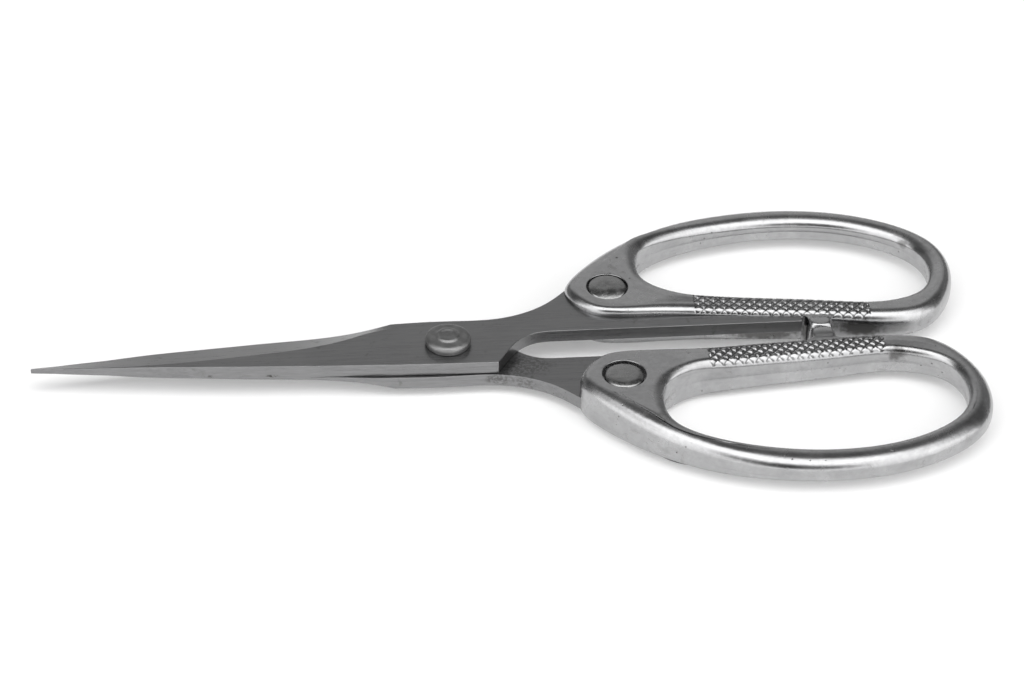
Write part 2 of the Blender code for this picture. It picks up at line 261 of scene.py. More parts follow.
def spline(rows, knots, at, closed=False):
    """Values at the given places of the smooth curve through the rows. A closed one has one knot more."""
    rows = np.array(rows, float)
    if closed:
        rows = np.vstack([rows, rows[:1]])
    knots, at = np.array(knots, float), np.array(at, float)
    gap = np.diff(knots)
    slope = np.diff(rows, axis=0) / gap[:, None]
    count = len(rows)
    system, right = np.eye(count), np.zeros_like(rows)
    for i in range(1, count - 1):
        system[i, i - 1 : i + 2] = gap[i - 1], 2 * (gap[i - 1] + gap[i]), gap[i]
        right[i] = 6 * (slope[i] - slope[i - 1])
    if closed:
        system[0, [0, 1, -2]] = 2 * (gap[-1] + gap[0]), gap[0], gap[-1]
        right[0] = 6 * (slope[0] - slope[-1])
        system[-1, 0] = -1.0
    bend = np.linalg.solve(system, right)
    i = np.clip(np.searchsorted(knots, at, side="right") - 1, 0, count - 2)
    h, s = gap[i][:, None], (at - knots[i])[:, None]
    r = h - s
    cubic = (bend[i] * r**3 + bend[i + 1] * s**3) / (6 * h)
    return cubic + (rows[i] / h - bend[i] * h / 6) * r + (rows[i + 1] / h - bend[i + 1] * h / 6) * s


def chord_knots(points, closed=False):
    points = np.array(points, float)
    ends = np.vstack([points, points[:1]]) if closed else points
    return np.concatenate([[0.0], np.cumsum(np.linalg.norm(np.diff(ends, axis=0), axis=1))])


def smooth_line(points, step):
    """The open smooth curve through the points, as a list of points about a step apart."""
    knots = chord_knots(points)
    count = max(2, round(knots[-1] / step) + 1)
    return [tuple(p) for p in spline(points, knots, np.linspace(0, knots[-1], count))]


def left_normals(outline):
    along = np.roll(outline, -1, 0) - np.roll(outline, 1, 0)
    along /= np.linalg.norm(along, axis=1)[:, None]
    return np.column_stack([-along[:, 1], along[:, 0]])


def grown(outline, by):
    """The outline, counter-clockwise, moved outwards with its corners kept square."""
    loop = np.array(outline, float)
    edge = np.roll(loop, -1, 0) - loop
    edge /= np.linalg.norm(edge, axis=1)[:, None]
    side = np.column_stack([edge[:, 1], -edge[:, 0]])
    before = np.roll(side, 1, 0)
    miter = (side + before) / (1 + (side * before).sum(1))[:, None]
    return [tuple(p) for p in loop + miter * by]


# ---------------------------------------------------------------- meshes


def mesh_from(name, points, faces):
    mesh = bpy.data.meshes.new(name)
    mesh.from_pydata((np.array(points, float) * MM).tolist(), [], faces)
    bm = bmesh.new()
    bm.from_mesh(mesh)
    bmesh.ops.recalc_face_normals(bm, faces=bm.faces)
    bm.to_mesh(mesh)
    bm.free()
    return mesh


def evaluated_copy(obj, name):
    mesh = bpy.data.meshes.new_from_object(obj.evaluated_get(bpy.context.evaluated_depsgraph_get()))
    mesh.name = name
    return mesh


def worked(mesh, *steps):
    """The mesh after the modifiers that the steps describe, each a type and its settings."""
    obj = bpy.data.objects.new("work", mesh)
    bpy.context.scene.collection.objects.link(obj)
    tools = []
    for kind, settings in steps:
        modifier = obj.modifiers.new(kind.lower(), kind)
        for key, value in settings.items():
            if isinstance(value, bpy.types.Mesh):
                value = bpy.data.objects.new("tool", value)
                bpy.context.scene.collection.objects.link(value)
                tools.append(value)
            setattr(modifier, key, value)
    made = evaluated_copy(obj, mesh.name)
    for used in [obj, *tools]:
        bpy.data.objects.remove(used)
    return made


def boolean(operation, tool):
    return "BOOLEAN", {"operation": operation, "solver": "MANIFOLD", "object": tool}


def bevelled(width):
    limit = {"limit_method": "ANGLE", "angle_limit": math.radians(BEVEL_ANGLE)}
    style = {"segments": BEVEL_SEGMENTS, "use_clamp_overlap": True, "miter_outer": "MITER_ARC"}
    return "BEVEL", {"width": width * MM} | limit | style


def shaded(mesh, sharp_angle):
    mesh.shade_smooth()
    mesh.set_sharp_from_angle(angle=math.radians(sharp_angle))
    return mesh


def prism(name, outline, low, high):
    count = len(outline)
    points = [(x, y, z) for z in (low, high) for x, y in outline]
    sides = [(i, (i + 1) % count, count + (i + 1) % count, count + i) for i in range(count)]
    caps = [tuple(range(count))[::-1], tuple(range(count, 2 * count))]
    return mesh_from(name, points, sides + caps)


def turned(name, profile, centre=(0.0, 0.0)):
    """A solid of revolution. The profile, as (r, z), starts and ends on the axis."""
    rings, points = [], []
    for r, z in profile:
        if r == 0.0:
            rings.append([len(points)])
            points.append((*centre, z))
            continue
        rings.append(list(range(len(points), len(points) + TURNED_SIDES)))
        for k in range(TURNED_SIDES):
            angle = 2 * math.pi * k / TURNED_SIDES
            points.append((centre[0] + r * math.cos(angle), centre[1] + r * math.sin(angle), z))
    faces = []
    for a, b in zip(rings, rings[1:]):
        for k in range(TURNED_SIDES):
            corners = [a[k % len(a)], a[(k + 1) % len(a)], b[(k + 1) % len(b)], b[k % len(b)]]
            faces.append(tuple(dict.fromkeys(corners)))
    return mesh_from(name, points, faces)


def drill(radius, centre=(0.0, 0.0)):
    profile = [(0.0, DRILL_REACH), (radius, DRILL_REACH), (radius, -DRILL_REACH), (0.0, -DRILL_REACH)]
    return turned("drill", profile, centre)


# ---------------------------------------------------------------- cast handles


def knurl_cut(x, y, z, face):
    """Height of each point of a face after the knurl, how deep in a groove it is, and how near a score."""
    start, end = KNURL_X[face]
    c, s = math.cos(KNURL_TURN), math.sin(KNURL_TURN)
    along = (x - KNURL_ORIGIN[0]) * c + (y - KNURL_ORIGIN[1]) * s
    across = (y - KNURL_ORIGIN[1]) * c - (x - KNURL_ORIGIN[0]) * s
    bar = RING_SECTIONS[KNURLED_SPANS.start : KNURLED_SPANS.stop + 2]
    half = np.reshape(spline([[r[4]] for r in bar], [r[0] for r in bar], np.ravel(x)), x.shape)
    nearest = np.full(x.shape, np.inf)
    for way in (1, -1):
        off = (along + way * across) / KNURL_PITCH
        nearest = np.minimum(nearest, np.abs(off - np.round(off)) * KNURL_PITCH / math.sqrt(2))
    fade = np.clip(np.minimum(x - start, end - x) / KNURL_END_FADE, 0, 1) * (y < KNURL_BACK_Y)
    reached = np.clip((z - half + SCORE_DROP) / SCORE_FADE, 0, 1) * fade
    score = np.exp(-((nearest / SCORE_HALF_WIDTH) ** 2)) * reached
    cut = half - KNURL_DEPTH + KNURL_SLOPE * nearest + (1 - fade) * 2 * KNURL_DEPTH
    gap = cut - z
    lowered = z + 0.5 * (gap - np.sqrt(gap**2 + KNURL_CREST**2))
    lowered = np.where(fade > 0, np.minimum(lowered, z - SCORE_DEPTH * score), z)
    return lowered, np.clip((z - lowered) / KNURL_DEPTH, 0, 1), score


def ring_positions():
    """Where the sections stand along the ring: close together on the knurled bar, further apart elsewhere."""
    knots = chord_knots([row[:2] for row in RING_SECTIONS], closed=True)
    at = []
    for i, (a, b) in enumerate(zip(knots, knots[1:])):
        step = KNURLED_STEP if i in KNURLED_SPANS else PLAIN_STEP
        count = max(2, round((b - a) / step))
        at += [a + (b - a) * k / count for k in range(count)]
    return knots, at


def rounding(steps, start):
    """From the wall to the top: how far in and how far below the top a rounding is, as shares of its size.

    Its tilt grows as a power of the way along it, so a larger power leaves the top more slowly.
    """
    tilt = 0.5 * math.pi * np.linspace(0, 1, ROUNDING_FINENESS * steps + 1) ** start
    run, drop = (np.concatenate([[0], np.cumsum((f[1:] + f[:-1]) / 2)]) for f in (np.cos(tilt), np.sin(tilt)))
    return np.column_stack([1 - run / run[-1], drop / drop[-1]])[::-ROUNDING_FINENESS]


def ring_lines(rows, face):
    """The lengthwise lines of one face of the ring, from the outer wall over the crest to the finger hole."""
    outer, hole = rows[:, 0:2], rows[:, 2:4]
    half, reach, depth, hole_reach, hole_depth, slowness = rows[:, 4:10].T
    half, slowness = np.minimum(half, EYE_HALF), np.clip(slowness, 0, 1)
    shift = CREST_SHIFT[face] * np.clip(2 * (0.9 - slowness), 0, 1)
    reach, hole_reach = reach - shift, hole_reach + shift
    inward, outward = left_normals(outer), -left_normals(hole)
    lines = []
    for quick, slow in zip(*(rounding(OUTER_ROUND_STEPS, start) for start in ROUND_STARTS)):
        share, drop = (quick[k] + (slow[k] - quick[k]) * slowness for k in (0, 1))
        lines.append(np.column_stack([outer + inward * (reach * share)[:, None], half - depth * drop]))
    hole_top = hole + outward * hole_reach[:, None]
    for k in range(1, FLAT_STEPS):
        share = k / FLAT_STEPS
        plan = lines[OUTER_ROUND_STEPS][:, :2] * (1 - share) + hole_top * share
        lines.append(np.column_stack([plan, half]))
    for share, drop in rounding(HOLE_ROUND_STEPS, HOLE_ROUND_START)[::-1]:
        plan = hole + outward * (hole_reach * share)[:, None]
        lines.append(np.column_stack([plan, half - hole_depth * drop]))
    for height, proud in ((PARTING_HALF_WIDTH, 0.0), (0.5 * PARTING_HALF_WIDTH, PARTING_PROUD)):
        lines.append(np.column_stack([hole - outward * proud, np.full(len(rows), height)]))
    return np.array(lines)


def path_coordinates(at, length, grid):
    """For the polishing lines: a circle as long as the ring, and the way round the section, in mm."""
    radius = length / (2 * math.pi)
    turn = np.array(at) / radius
    around = np.linalg.norm(np.diff(grid, axis=0), axis=2).mean(axis=1)
    around = np.concatenate([[0], np.cumsum(around)])
    path = np.empty(grid.shape)
    path[:, :, 0], path[:, :, 1] = radius * np.cos(turn), radius * np.sin(turn)
    path[:, :, 2] = around[:, None]
    return path


def ring_mesh():
    """The cast ring as a loft: each section runs from the outer side over the top to the hole, and back."""
    knots, at = ring_positions()
    rows = spline(RING_SECTIONS, knots, at, closed=True)
    faces_of = {}
    for face in (1, -1):
        top = ring_lines(rows, face)
        z, groove, score = knurl_cut(top[:, :, 0], top[:, :, 1], top[:, :, 2], face)
        faces_of[face] = np.dstack([top[:, :, :2], face * z]), groove, score
    grid, groove, score = (np.concatenate([a, b[::-1]]) for a, b in zip(faces_of[1], faces_of[-1]))
    around, count = grid.shape[:2]
    faces = []
    for m in range(around):
        n = (m + 1) % around
        for i in range(count):
            j = (i + 1) % count
            faces.append((m * count + i, n * count + i, n * count + j, m * count + j))
    mesh = mesh_from("ring", grid.reshape(-1, 3), faces)
    for name, values in (("groove", groove), ("score", score)):
        attribute = mesh.attributes.new(name, "FLOAT", "POINT")
        attribute.data.foreach_set("value", values.ravel().astype(np.float32))
    path = path_coordinates(at, knots[-1], grid)
    attribute = mesh.attributes.new("path", "FLOAT_VECTOR", "POINT")
    attribute.data.foreach_set("vector", path.ravel().astype(np.float32))
    return mesh


def with_bar_path(mesh):
    """Gives a mesh on the bar the path coordinates of the ring beside it."""
    knots = chord_knots([row[:2] for row in RING_SECTIONS], closed=True)
    radius = knots[-1] / (2 * math.pi)
    bar = slice(KNURLED_SPANS.start, KNURLED_SPANS.stop + 2)
    path = []
    for vertex in mesh.vertices:
        x, y, z = vertex.co / MM
        turn = np.interp(x, [row[0] for row in RING_SECTIONS[bar]], knots[bar]) / radius
        path += [radius * math.cos(turn), radius * math.sin(turn), y + z]
    mesh.attributes.new("path", "FLOAT_VECTOR", "POINT").data.foreach_set("vector", path)
    return mesh


def lug_mesh():
    """The stop lug's block, pillow-shaped, as a loft across its width."""
    middle, reach = 0.5 * (LUG_X[0] + LUG_X[1]), 0.5 * (LUG_X[1] - LUG_X[0])
    points = []
    across_steps, side_steps, edge_steps = LUG_STEPS
    across = np.sin(np.linspace(-0.5 * math.pi, 0.5 * math.pi, across_steps))
    sides = np.linspace(LUG_ROOT_Y, LUG_DROP_FROM_Y, side_steps)
    fall = LUG_TOP_DROP / (LUG_ROOT_Y - LUG_DROP_FROM_Y)
    for u in across:
        past = max(0.0, (abs(u) * reach - (reach - LUG_CORNER)) / LUG_CORNER)
        inset = LUG_CORNER * (1 - math.sqrt(max(0.0, 1 - past**2)))
        front, half = STOP_GAP + inset, LUG_HALF - inset
        edge = LUG_EDGE[0] + (LUG_EDGE[1] - LUG_EDGE[0]) * u**2
        profile = [(y, half - fall * (y - LUG_DROP_FROM_Y)) for y in sides]
        for turn in np.linspace(0, 0.5 * math.pi, edge_steps):
            profile.append((front + edge * (1 - math.sin(turn)), half - edge * (1 - math.cos(turn))))
        profile += [(y, -z) for y, z in reversed(profile)]
        points += [(middle + u * reach, y, z) for y, z in profile]
    around, count = len(profile), len(across)
    faces = [tuple(range(around)), tuple(range((count - 1) * around, count * around))]
    for i in range(count - 1):
        for m in range(around):
            n = (m + 1) % around
            faces.append((i * around + m, i * around + n, (i + 1) * around + n, (i + 1) * around + m))
    return with_bar_path(mesh_from("lug", points, faces))


def lug_root_mesh():
    """The flared root where the lug grows out of the bar."""
    turns = np.linspace(0, 0.5 * math.pi, LUG_STEPS[-1])
    flare = [(LUG_FLARE * (1 - math.sin(t)), LUG_FLARE * (1 - math.cos(t))) for t in turns]
    top = LUG_FLARE_Y + LUG_FLARE
    left = [(LUG_X[0] + LUG_FLARE_INSET - dx, top - dy) for dx, dy in flare]
    right = [(LUG_X[1] - LUG_FLARE_INSET + dx, top - dy) for dx, dy in flare[::-1]]
    outline = [(left[0][0], LUG_ROOT_Y), *left, *right, (right[-1][0], LUG_ROOT_Y)]
    return with_bar_path(prism("lug_root", outline, -LUG_FLARE_HALF, LUG_FLARE_HALF))


def slot_mesh():
    """What the handle gives up to the tang: the tang's own shape with a clearance."""
    buried = TANG_FAR_SIDE[-2:] + TANG_HIDDEN_SIDE
    outline = buried + [(TANG_END_X, SLOT_BACK_Y), (TANG_END_X, TANG_NEAR_Y), HEEL_CURVE[0]]
    return prism("slot", grown(outline[::-1], CAST_IN_GAP), BLADE_GAP - CAST_IN_GAP, STOCK + CAST_IN_GAP)


def rivet_seat(radius):
    """The hole through the eye with a recess on each face, its lip rounded."""
    floor, bore, lip = EYE_HALF - RECESS_DEPTH, RIVET_SHANK_R + FIT_GAP, RECESS_LIP
    turn = [0.5 * math.pi * k / RECESS_LIP_STEPS for k in range(RECESS_LIP_STEPS + 1)]
    rounded = [(radius + lip * (1 - math.sin(t)), EYE_HALF - lip * (1 - math.cos(t))) for t in turn]
    upper = [(0.0, DRILL_REACH), (radius + lip, DRILL_REACH), *rounded, (radius, floor), (bore, floor)]
    return turned("seat", upper + [(r, -z) for r, z in reversed(upper)], RIVET_AT)


def casting_mesh(body):
    mesh = worked(
        ring_mesh(),
        boolean("UNION", lug_root_mesh()),
        boolean("UNION", lug_mesh()),
        boolean("DIFFERENCE", slot_mesh()),
        boolean("DIFFERENCE", rivet_seat(RECESS_R[body])),
    )
    mesh.name = "casting"
    return shaded(mesh, CASTING_SHARP_ANGLE)


# ---------------------------------------------------------------- blades and rivets


def blade_mesh():
    """Blade, ricasso and tang in one: a flat inner face, a ground bevel, a thinning tip and broken edges."""
    xs = [row[0] for row in BLADE_SECTIONS]
    at = np.linspace(xs[0], xs[-1], round((xs[-1] - xs[0]) / BLADE_STEP) + 1)
    sections = spline([row[1:] for row in BLADE_SECTIONS], xs, at)
    points, faces = [], []

    def add(x, y, z):
        points.append((x, y, z))
        return len(points) - 1

    rows = []
    for x, (spine, bevel, corner, height, edge, thick) in zip(at, sections):
        bevel = min(max(bevel, spine + 0.02), corner - 0.02)
        thick, height = min(thick, STOCK), min(max(height, 0.25), STOCK)
        open_share = np.clip((x - GAP_OPENS_X[0]) / (GAP_OPENS_X[1] - GAP_OPENS_X[0]), 0, 1)
        low = CLOSED_GAP + (BLADE_GAP - CLOSED_GAP) * open_share
        top = [add(x, spine, thick), add(x, bevel, thick), add(x, corner, height)]
        rows.append(top + [add(x, edge, low), add(x, spine, low)])
    for a, b in zip(rows, rows[1:]):
        faces += [(a[m], a[m + 1], b[m + 1], b[m]) for m in range(3)]
        faces.append((a[4], a[0], b[0], b[4]))
    faces.append(tuple(rows[0]))
    far = smooth_line(TANG_FAR_SIDE, CURVE_STEPS["tang"])[1:]
    hidden = TANG_HIDDEN_SIDE + [(TANG_END_X, SLOT_BACK_Y), (TANG_END_X, TANG_NEAR_Y)]
    heel = smooth_line(HEEL_CURVE, CURVE_STEPS["heel"])
    outline = far + hidden + heel + [HEEL, SPINE_BREAK]
    top = [add(x, y, STOCK) for x, y in outline]
    low = [add(x, y, BLADE_GAP) for x, y in outline]
    last = rows[-1]
    faces.append((last[0], last[1], last[2], *top))
    for a, b in zip(rows, rows[1:]):
        faces.append((a[4], b[4], b[3], a[3]))
    faces.append((last[4], *low[::-1], last[3]))
    faces.append((last[2], last[3], low[0], top[0]))
    faces += [(top[i], low[i], low[i + 1], top[i + 1]) for i in range(len(outline) - 1)]
    faces.append((top[-1], low[-1], last[4], last[0]))
    mesh = worked(
        mesh_from("blade", points, faces),
        bevelled(EDGE_BREAK),
        boolean("DIFFERENCE", drill(PIVOT_SHANK_R + FIT_GAP)),
        boolean("DIFFERENCE", drill(RIVET_SHANK_R + FIT_GAP, RIVET_AT)),
    )
    return shaded(mesh, BLADE_SHARP_ANGLE)


def fine(profile):
    """The profile with its bends rounded by a smooth curve."""
    line = smooth_line(profile, PROFILE_STEP)
    line[-1] = (0.0, line[-1][1])
    return line


def rivet_mesh(body):
    head = [(r, EYE_HALF + z) for r, z in fine(RIVET_HEAD)]
    tail = [(r, -EYE_HALF - z) for r, z in fine(RIVET_TAIL)]
    neck = [(RIVET_SHANK_R, head[0][1]), (RIVET_SHANK_R, tail[0][1])]
    mesh = turned("handle_rivet", head[::-1] + neck + tail, RIVET_AT)
    for vertex in mesh.vertices:
        y, z = vertex.co.y / MM - RIVET_AT[1], vertex.co.z / MM
        if z > EYE_HALF - RIVET_HEAD_HEIGHT:
            droop = RIVET_HEAD_DROOP[body] * max(0.0, -y - RIVET_DROOP_FROM) ** 2
            vertex.co.z = (z + y * RIVET_HEAD_LEAN[body] - droop - RIVET_HEAD_SUNK[body]) * MM
    return shaded(mesh, RIVET_SHARP_ANGLE)


def pivot_mesh():
    head = [(r, STOCK + z) for r, z in fine(PIVOT_HEAD)]
    tail = [(r, -STOCK - z) for r, z in fine(PIVOT_TAIL)]
    neck = [(PIVOT_SHANK_R, head[0][1]), (PIVOT_SHANK_R, tail[0][1])]
    return shaded(turned("pivot_rivet", head[::-1] + neck + tail), RIVET_SHARP_ANGLE)


# ---------------------------------------------------------------- materials


class Shader:
    """A small hand for building a node tree whose coordinates are millimetres in the piece's own frame."""

    def __init__(self, name, seed):
        self.material = bpy.data.materials.new(name)
        self.material.use_nodes = True
        self.tree = self.material.node_tree
        self.bsdf = self.tree.nodes["Principled BSDF"]
        self.seed = seed
        self.object_coordinates = self.tree.nodes.new("ShaderNodeTexCoord").outputs["Object"]

    def link(self, source, target):
        self.tree.links.new(source, target)

    def plug(self, node, key, value):
        if isinstance(value, bpy.types.NodeSocket):
            self.link(value, node.inputs[key])
        elif value is not None:
            node.inputs[key].default_value = value

    def coordinates(self, stretch=(1.0, 1.0, 1.0), turn=0.0):
        node = self.tree.nodes.new("ShaderNodeMapping")
        self.link(self.object_coordinates, node.inputs["Vector"])
        node.inputs["Scale"].default_value = [s / MM for s in stretch]
        node.inputs["Rotation"].default_value = (0.0, 0.0, turn)
        node.inputs["Location"].default_value = (self.seed * 37.0, self.seed * 17.0, self.seed * 7.0)
        return node.outputs["Vector"]

    def noise(self, scale, detail=3.0, rough=0.5, stretch=(1.0, 1.0, 1.0), distortion=0.0, turn=0.0):
        node = self.tree.nodes.new("ShaderNodeTexNoise")
        self.plug(node, "Vector", self.coordinates(stretch, turn))
        self.plug(node, "Scale", scale)
        self.plug(node, "Detail", detail)
        self.plug(node, "Roughness", rough)
        self.plug(node, "Distortion", distortion)
        return node.outputs["Fac"]

    def cells(self, scale):
        node = self.tree.nodes.new("ShaderNodeTexVoronoi")
        self.plug(node, "Vector", self.coordinates())
        self.plug(node, "Scale", scale)
        return node.outputs["Distance"]

    def spot(self, centre, radii):
        """One in the middle of a soft, ragged blotch at a place of the half frame, and zero outside it."""
        node = self.tree.nodes.new("ShaderNodeMapping")
        node.vector_type = "TEXTURE"
        self.link(self.object_coordinates, node.inputs["Vector"])
        node.inputs["Location"].default_value = [c * MM for c in centre]
        node.inputs["Scale"].default_value = [r * MM for r in radii]
        length = self.tree.nodes.new("ShaderNodeVectorMath")
        length.operation = "LENGTH"
        self.link(node.outputs["Vector"], length.inputs[0])
        ragged = self.math("SUBTRACT", self.noise(0.9, detail=4.0), 0.5)
        return self.ranged(self.math("ADD", length.outputs["Value"], ragged), 1.05, 0.45)

    def streaks(self, scale, along=0.04, detail=3.0):
        """Noise drawn out along the ring, from the mesh's own path coordinates."""
        node = self.tree.nodes.new("ShaderNodeAttribute")
        node.attribute_name = "path"
        stretch = self.tree.nodes.new("ShaderNodeVectorMath")
        stretch.operation = "MULTIPLY"
        self.link(node.outputs["Vector"], stretch.inputs[0])
        stretch.inputs[1].default_value = (along, along, 1.0)
        noise = self.tree.nodes.new("ShaderNodeTexNoise")
        self.link(stretch.outputs[0], noise.inputs["Vector"])
        self.plug(noise, "Scale", scale)
        self.plug(noise, "Detail", detail)
        return noise.outputs["Fac"]

    def attribute(self, name):
        node = self.tree.nodes.new("ShaderNodeAttribute")
        node.attribute_name = name
        return node.outputs["Fac"]

    def ranged(self, value, low, high, to_low=0.0, to_high=1.0):
        node = self.tree.nodes.new("ShaderNodeMapRange")
        node.interpolation_type = "SMOOTHSTEP"
        self.plug(node, "Value", value)
        for key, number in (("From Min", low), ("From Max", high), ("To Min", to_low), ("To Max", to_high)):
            node.inputs[key].default_value = number
        return node.outputs["Result"]

    def math(self, operation, a, b=None):
        node = self.tree.nodes.new("ShaderNodeMath")
        node.operation = operation
        self.plug(node, 0, a)
        self.plug(node, 1, b)
        return node.outputs["Value"]

    def mix(self, share, a, b):
        node = self.tree.nodes.new("ShaderNodeMix")
        node.data_type = "RGBA"
        self.plug(node, "Factor", share)
        for index, value in ((6, a), (7, b)):
            self.plug(node, index, value if isinstance(value, bpy.types.NodeSocket) else (*value, 1.0))
        return node.outputs[2]

    def bump(self, height, depth_mm, below=None):
        node = self.tree.nodes.new("ShaderNodeBump")
        node.inputs["Strength"].default_value = 1.0
        node.inputs["Distance"].default_value = depth_mm * MM
        self.plug(node, "Height", height)
        self.plug(node, "Normal", below)
        return node.outputs["Normal"]

    def finish(self, colour, roughness, normal):
        self.bsdf.inputs["Metallic"].default_value = 1.0
        self.link(colour, self.bsdf.inputs["Base Color"])
        self.link(roughness, self.bsdf.inputs["Roughness"])
        self.link(normal, self.bsdf.inputs["Normal"])
        return self.material


def cast_metal(name, seed, marks):
    """Plated casting: bright, a little wavy, darker deep in the knurl grooves, with sparse pits, faint stains
    and dark patches, most of them painted shade and painted reflections.
    """
    s = Shader(name, seed)
    cloud = s.noise(0.13, detail=5.0, rough=0.6)
    stain = s.ranged(s.noise(0.22, detail=6.0, rough=0.65, distortion=0.6), 0.58, 0.74)
    pit_field = s.ranged(s.noise(0.1, detail=2.0), 0.5, 0.66)
    pits = s.math("MULTIPLY", s.ranged(s.cells(0.55), 0.13, 0.05), pit_field)
    polish = s.streaks(2.2)
    lines = s.streaks(6.0, along=0.02, detail=2.0)
    groove = s.ranged(s.attribute("groove"), 0.5, 1.0)
    score = s.ranged(s.attribute("score"), 0.25, 0.9)
    colour = s.mix(s.ranged(cloud, 0.3, 0.7), (0.39, 0.39, 0.395), (0.47, 0.47, 0.475))
    grain = s.ranged(s.noise(0.8, detail=6.0, rough=0.7), 0.35, 0.65)
    colour = s.mix(s.math("MULTIPLY", grain, 0.3), colour, (0.3, 0.3, 0.3))
    colour = s.mix(s.math("MULTIPLY", s.ranged(polish, 0.55, 0.75), 0.25), colour, (0.27, 0.268, 0.265))
    colour = s.mix(s.math("MULTIPLY", stain, 0.35), colour, (0.17, 0.165, 0.16))
    colour = s.mix(s.math("MULTIPLY", groove, 0.5), colour, (0.16, 0.16, 0.16))
    colour = s.mix(s.math("MULTIPLY", score, 0.8), colour, (0.09, 0.09, 0.09))
    colour = s.mix(s.math("MULTIPLY", pits, 0.8), colour, (0.08, 0.075, 0.07))
    # Dark patches: apart from a small speck and a patch on the lower eye, these are painted shade and painted
    # reflections.
    for centre, radii, share in marks:
        colour = s.mix(s.math("MULTIPLY", s.spot(centre, radii), share), colour, (0.07, 0.068, 0.065))
    rough = s.ranged(cloud, 0.25, 0.75, 0.21, 0.29)
    rough = s.math("ADD", rough, s.math("MULTIPLY", stain, 0.12))
    rough = s.math("ADD", rough, s.math("MULTIPLY", groove, 0.2))
    normal = s.bump(s.noise(0.5, detail=3.0, rough=0.5), 0.03)
    normal = s.bump(s.noise(2.4, detail=3.0, rough=0.6), 0.006, normal)
    normal = s.bump(polish, 0.008, normal)
    normal = s.bump(lines, 0.0015, normal)
    normal = s.bump(s.math("SUBTRACT", 1.0, pits), 0.06, normal)
    return s.finish(colour, rough, normal)


def brushed_steel(name, seed, marks):
    """Ground blade steel: fine lengthwise brushing, a few deeper scratches and dull stains."""
    s = Shader(name, seed)
    along = (0.035, 1.0, 1.0)
    fine_lines = s.noise(7.0, detail=3.0, rough=0.6, stretch=along)
    broad_lines = s.noise(1.6, detail=3.0, rough=0.6, stretch=along)
    cloud = s.noise(0.11, detail=4.0, rough=0.55, distortion=0.3)
    stain = s.ranged(s.noise(0.3, detail=5.0, rough=0.65, distortion=0.5), 0.60, 0.75)
    scratch = s.ranged(s.noise(2.0, detail=1.0, stretch=(0.05, 3.0, 3.0), turn=0.18), 0.66, 0.74)
    lines = s.math("ADD", s.math("MULTIPLY", fine_lines, 0.5), s.math("MULTIPLY", broad_lines, 0.5))
    colour = s.mix(s.ranged(lines, 0.35, 0.65), (0.215, 0.215, 0.218), (0.275, 0.275, 0.278))
    colour = s.mix(s.math("MULTIPLY", s.ranged(cloud, 0.35, 0.7), 0.35), colour, (0.29, 0.29, 0.292))
    colour = s.mix(s.math("MULTIPLY", stain, 0.45), colour, (0.12, 0.115, 0.11))
    colour = s.mix(s.math("MULTIPLY", scratch, 0.25), colour, (0.36, 0.36, 0.365))
    specks = s.ranged(s.noise(1.7, detail=5.0, rough=0.65), 0.42, 0.56)
    for centre, radii, share in marks:
        mark = s.math("MULTIPLY", s.spot(centre, radii), specks)
        colour = s.mix(s.math("MULTIPLY", mark, share), colour, (0.07, 0.068, 0.065))
    rough = s.ranged(lines, 0.3, 0.7, 0.26, 0.38)
    rough = s.math("ADD", rough, s.math("MULTIPLY", stain, 0.12))
    normal = s.bump(fine_lines, 0.006)
    normal = s.bump(broad_lines, 0.012, normal)
    normal = s.bump(s.math("SUBTRACT", 1.0, scratch), 0.002, normal)
    return s.finish(colour, rough, normal)


def rivet_steel(name, seed, dark, light, roughness):
    """Peened rivet metal: mottled tone and roughness, and small dents."""
    s = Shader(name, seed)
    cloud = s.noise(0.5, detail=4.0, rough=0.6)
    dents = s.noise(1.1, detail=2.0)
    colour = s.mix(s.ranged(cloud, 0.35, 0.65), (dark,) * 3, (light,) * 3)
    rough = s.ranged(cloud, 0.3, 0.7, *roughness)
    normal = s.bump(dents, 0.035)
    normal = s.bump(s.noise(5.0, detail=3.0, rough=0.6), 0.006, normal)
    return s.finish(colour, rough, normal)


# ---------------------------------------------------------------- pieces


def piece(name, mesh, body, node, material):
    obj = bpy.data.objects.new(name, mesh)
    bpy.context.scene.collection.objects.link(obj)
    mesh.materials.clear()
    mesh.materials.append(material)
    obj.matrix_world = HALVES[body]
    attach(obj, body)
    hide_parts(node)
    return obj


def build_half(body, names, seed):
    blade, handle, rivet = names
    metal = cast_metal(handle + "_metal", seed, CAST_SPECKS_AND_PAINTED_SHADE[body])
    piece(handle + "_casting", casting_mesh(body), body, handle, metal)
    steel = brushed_steel(blade + "_steel", seed, BLADE_MARKS[body])
    piece(blade + "_ground", blade_mesh(), body, blade, steel)
    peened = rivet_steel(rivet + "_steel", seed, 0.26, 0.34, (0.2, 0.32))
    piece(rivet + "_peened", rivet_mesh(body), body, rivet, peened)


# ---------------------------------------------------------------- stage


FLOOR_DROP = 0.2


def add_floor():
    bpy.ops.mesh.primitive_plane_add(size=3.0, location=(0.0, 0.0, CAD_BOX[0].z - FLOOR_DROP * MM))
    floor = bpy.context.object
    floor.name = "floor"
    material = bpy.data.materials.new("pale_floor")
    material.use_nodes = True
    shader = material.node_tree.nodes["Principled BSDF"]
    shader.inputs["Base Color"].default_value = (0.75, 0.75, 0.75, 1.0)
    shader.inputs["Roughness"].default_value = 0.9
    shader.inputs["Emission Color"].default_value = (1.0, 1.0, 1.0, 1.0)
    shader.inputs["Emission Strength"].default_value = 0.24
    floor.data.materials.append(material)


